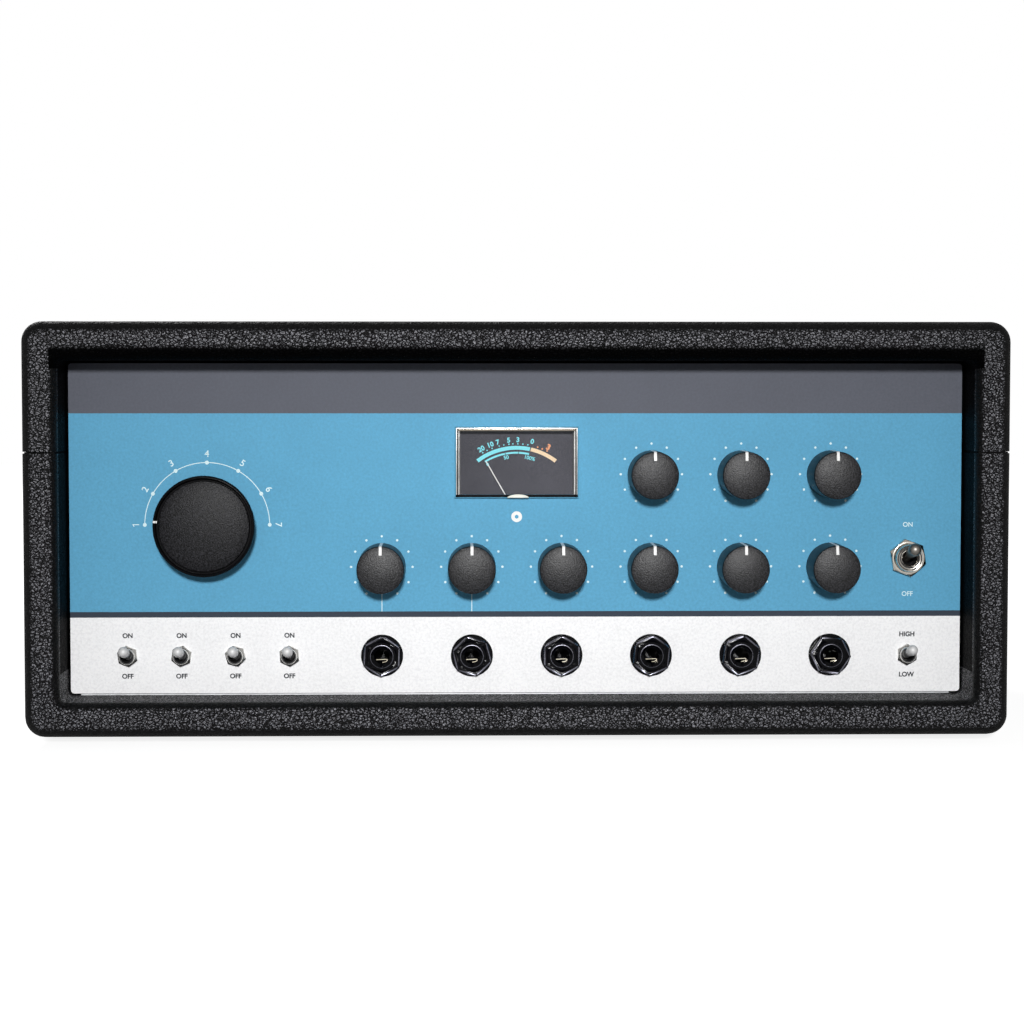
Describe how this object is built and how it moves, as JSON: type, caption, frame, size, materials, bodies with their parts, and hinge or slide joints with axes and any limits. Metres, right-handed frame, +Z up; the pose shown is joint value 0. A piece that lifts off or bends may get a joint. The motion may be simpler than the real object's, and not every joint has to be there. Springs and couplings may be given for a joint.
{
  "type": "tape echo unit",
  "caption": "Recessed-panel audio effects box with a hinged lid over a tape loop deck; knobs, toggle switches, a level meter and jack sockets.",
  "frame": {"origin": "centre of the footprint, on the surface the rubber feet stand on", "axes": "+X to the right as seen from the front, +Y towards the back, +Z up; the control panel faces -Y"},
  "size_m": [0.41, 0.28, 0.1765],
  "materials": {
    "covered_board": "plywood covered in black pebbled vinyl",
    "foot_rubber": "matte black",
    "plated_steel": "nickel plated",
    "panel_paint": "fine textured paint in bands of grey, blue and silver",
    "sheet_steel": "black powder coat",
    "zinc_steel": "zinc plated",
    "can_metal": "drawn steel",
    "black_plastic": "moulded, satin",
    "spring_brass": "tinned spring leaf",
    "knob_plastic": "matte charcoal with a white mark",
    "lever_metal": "satin",
    "bright_chrome": "polished",
    "clear_window": "clear acrylic",
    "dial_card": "dark dial with a pale scale",
    "needle_metal": "painted white",
    "deck_metal": "brushed",
    "tape_film": "brown oxide coating",
    "head_metal": "polished head cans",
    "turned_brass": "turned",
    "motor_can": "black motor can",
    "belt_rubber": "ground flat belt",
    "core_wrap": "wound ring core in yellow tape",
    "board_resin": "green circuit board"
  },
  "bodies": {
    "cabinet": {"capstan_bearing": "turned_brass", "case_hinge_leaves": "plated_steel", "chassis": "zinc_steel", "circuit_board": "board_resin", "control_cover": "sheet_steel", "deck_pillars": "deck_metal", "deck_plate": "deck_metal", "drive_belt": "belt_rubber", "drive_motor": "motor_can", "erase_head": "head_metal", "front_panel": "panel_paint", "guide_posts": "plated_steel", "head_base": "deck_metal", "jack_contacts": "spring_brass", "jack_nuts": "black_plastic", "jack_sockets": "black_plastic", "lower_case": "covered_board", "mains_inlet": "black_plastic", "meter_bezel": "bright_chrome", "meter_case": "black_plastic", "meter_dial": "dial_card", "meter_lens": "clear_window", "playback_heads": "head_metal", "potentiometers": "can_metal", "rear_panel": "sheet_steel", "record_head": "head_metal", "rotary_switch": "black_plastic", "rubber_feet": "foot_rubber", "switch_bodies": "zinc_steel", "switch_nuts": "bright_chrome", "tape_loop": "tape_film", "tape_tank": "deck_metal", "transformer": "core_wrap"},
    "lid": {"lid": "covered_board", "lid_hinge_leaves": "plated_steel"},
    "mode_knob": {"mode_knob": "knob_plastic"},
    "power_lever": {"power_lever": "bright_chrome"},
    "meter_needle": {"meter_needle": "needle_metal"},
    "capstan": {"capstan_flywheel": "plated_steel"},
    "motor_pulley": {"motor_pulley": "turned_brass"},
    "pinch_arm": {"pinch_arm": "plated_steel"},
    "pinch_roller": {"pinch_roller": "foot_rubber"},
    "tank_cover": {"tank_cover": "clear_window", "thumb_screws": "turned_brass"},
    "guitar_volume_knob": {"guitar_volume_knob": "knob_plastic"},
    "line_volume_knob": {"line_volume_knob": "knob_plastic"},
    "reverb_decay_knob": {"reverb_decay_knob": "knob_plastic"},
    "reverb_volume_knob": {"reverb_volume_knob": "knob_plastic"},
    "speed_knob": {"speed_knob": "knob_plastic"},
    "echo_volume_knob": {"echo_volume_knob": "knob_plastic"},
    "bass_knob": {"bass_knob": "knob_plastic"},
    "treble_knob": {"treble_knob": "knob_plastic"},
    "feedback_knob": {"feedback_knob": "knob_plastic"},
    "direct_lever": {"direct_lever": "lever_metal"},
    "motor_lever": {"motor_lever": "lever_metal"},
    "layering_lever": {"layering_lever": "lever_metal"},
    "echo_lever": {"echo_lever": "lever_metal"},
    "output_level_lever": {"output_level_lever": "lever_metal"}
  },
  "joints": [
    {"name": "lid_hinge", "type": "hinge", "parent": "cabinet", "child": "lid", "pos_m": [0, 0.1345, 0.1223], "axis": [-1, 0, 0], "range_deg": [0, 100]},
    {"name": "mode_turn", "type": "hinge", "parent": "cabinet", "child": "mode_knob", "pos_m": [-0.1313, -0.1135, 0.0912], "axis": [0, 1, 0], "range_deg": [0, 180]},
    {"name": "guitar_volume_turn", "type": "hinge", "parent": "cabinet", "child": "guitar_volume_knob", "pos_m": [-0.05745, -0.1135, 0.0732], "axis": [0, 1, 0], "range_deg": [-150, 150]},
    {"name": "line_volume_turn", "type": "hinge", "parent": "cabinet", "child": "line_volume_knob", "pos_m": [-0.01925, -0.1135, 0.0732], "axis": [0, 1, 0], "range_deg": [-150, 150]},
    {"name": "reverb_decay_turn", "type": "hinge", "parent": "cabinet", "child": "reverb_decay_knob", "pos_m": [0.01895, -0.1135, 0.0732], "axis": [0, 1, 0], "range_deg": [-150, 150]},
    {"name": "reverb_volume_turn", "type": "hinge", "parent": "cabinet", "child": "reverb_volume_knob", "pos_m": [0.05715, -0.1135, 0.0732], "axis": [0, 1, 0], "range_deg": [-150, 150]},
    {"name": "speed_turn", "type": "hinge", "parent": "cabinet", "child": "speed_knob", "pos_m": [0.09535, -0.1135, 0.0732], "axis": [0, 1, 0], "range_deg": [-150, 150]},
    {"name": "echo_volume_turn", "type": "hinge", "parent": "cabinet", "child": "echo_volume_knob", "pos_m": [0.13355, -0.1135, 0.0732], "axis": [0, 1, 0], "range_deg": [-150, 150]},
    {"name": "bass_turn", "type": "hinge", "parent": "cabinet", "child": "bass_knob", "pos_m": [0.05715, -0.1135, 0.1125], "axis": [0, 1, 0], "range_deg": [-150, 150]},
    {"name": "treble_turn", "type": "hinge", "parent": "cabinet", "child": "treble_knob", "pos_m": [0.09535, -0.1135, 0.1125], "axis": [0, 1, 0], "range_deg": [-150, 150]},
    {"name": "feedback_turn", "type": "hinge", "parent": "cabinet", "child": "feedback_knob", "pos_m": [0.13355, -0.1135, 0.1125], "axis": [0, 1, 0], "range_deg": [-150, 150]},
    {"name": "direct_throw", "type": "hinge", "parent": "cabinet", "child": "direct_lever", "pos_m": [-0.16535, -0.1125, 0.0354], "axis": [1, 0, 0], "range_deg": [0, 25]},
    {"name": "motor_throw", "type": "hinge", "parent": "cabinet", "child": "motor_lever", "pos_m": [-0.1425, -0.1125, 0.0354], "axis": [1, 0, 0], "range_deg": [0, 25]},
    {"name": "layering_throw", "type": "hinge", "parent": "cabinet", "child": "layering_lever", "pos_m": [-0.11965, -0.1125, 0.0354], "axis": [1, 0, 0], "range_deg": [0, 25]},
    {"name": "echo_throw", "type": "hinge", "parent": "cabinet", "child": "echo_lever", "pos_m": [-0.0968, -0.1125, 0.0354], "axis": [1, 0, 0], "range_deg": [0, 25]},
    {"name": "output_level_throw", "type": "hinge", "parent": "cabinet", "child": "output_level_lever", "pos_m": [0.1668, -0.1125, 0.0354], "axis": [1, 0, 0], "range_deg": [0, 25]},
    {"name": "power_throw", "type": "hinge", "parent": "cabinet", "child": "power_lever", "pos_m": [0.1668, -0.112, 0.0768], "axis": [1, 0, 0], "range_deg": [0, 28]},
    {"name": "needle_swing", "type": "hinge", "parent": "cabinet", "child": "meter_needle", "pos_m": [-0.00015, -0.1105, 0.0945], "axis": [0, 1, 0], "range_deg": [0, 64], "stiffness_Nm_per_rad": 0.0002},
    {"name": "capstan_spin", "type": "hinge", "parent": "cabinet", "child": "capstan", "pos_m": [0.135, -0.04405, 0.12], "axis": [0, 0, 1], "continuous": true},
    {"name": "motor_spin", "type": "hinge", "parent": "cabinet", "child": "motor_pulley", "pos_m": [0.032, -0.0183, 0.069], "axis": [0, 0, 1], "continuous": true},
    {"name": "pinch_swing", "type": "hinge", "parent": "cabinet", "child": "pinch_arm", "pos_m": [0.10566, -0.05979, 0.122], "axis": [0, 0, -1], "range_deg": [0, 14]},
    {"name": "pinch_roll", "type": "hinge", "parent": "pinch_arm", "child": "pinch_roller", "pos_m": [0.135, -0.05355, 0.13], "axis": [0, 0, 1], "continuous": true},
    {"name": "tank_cover_lift", "type": "slide", "parent": "cabinet", "child": "tank_cover", "axis": [0, 0, 1], "range_m": [0, 0.012]}
  ],
  "couplings": [
    {"joint": "motor_spin", "follows": "capstan_spin", "ratio": 5.2216}
  ]
}
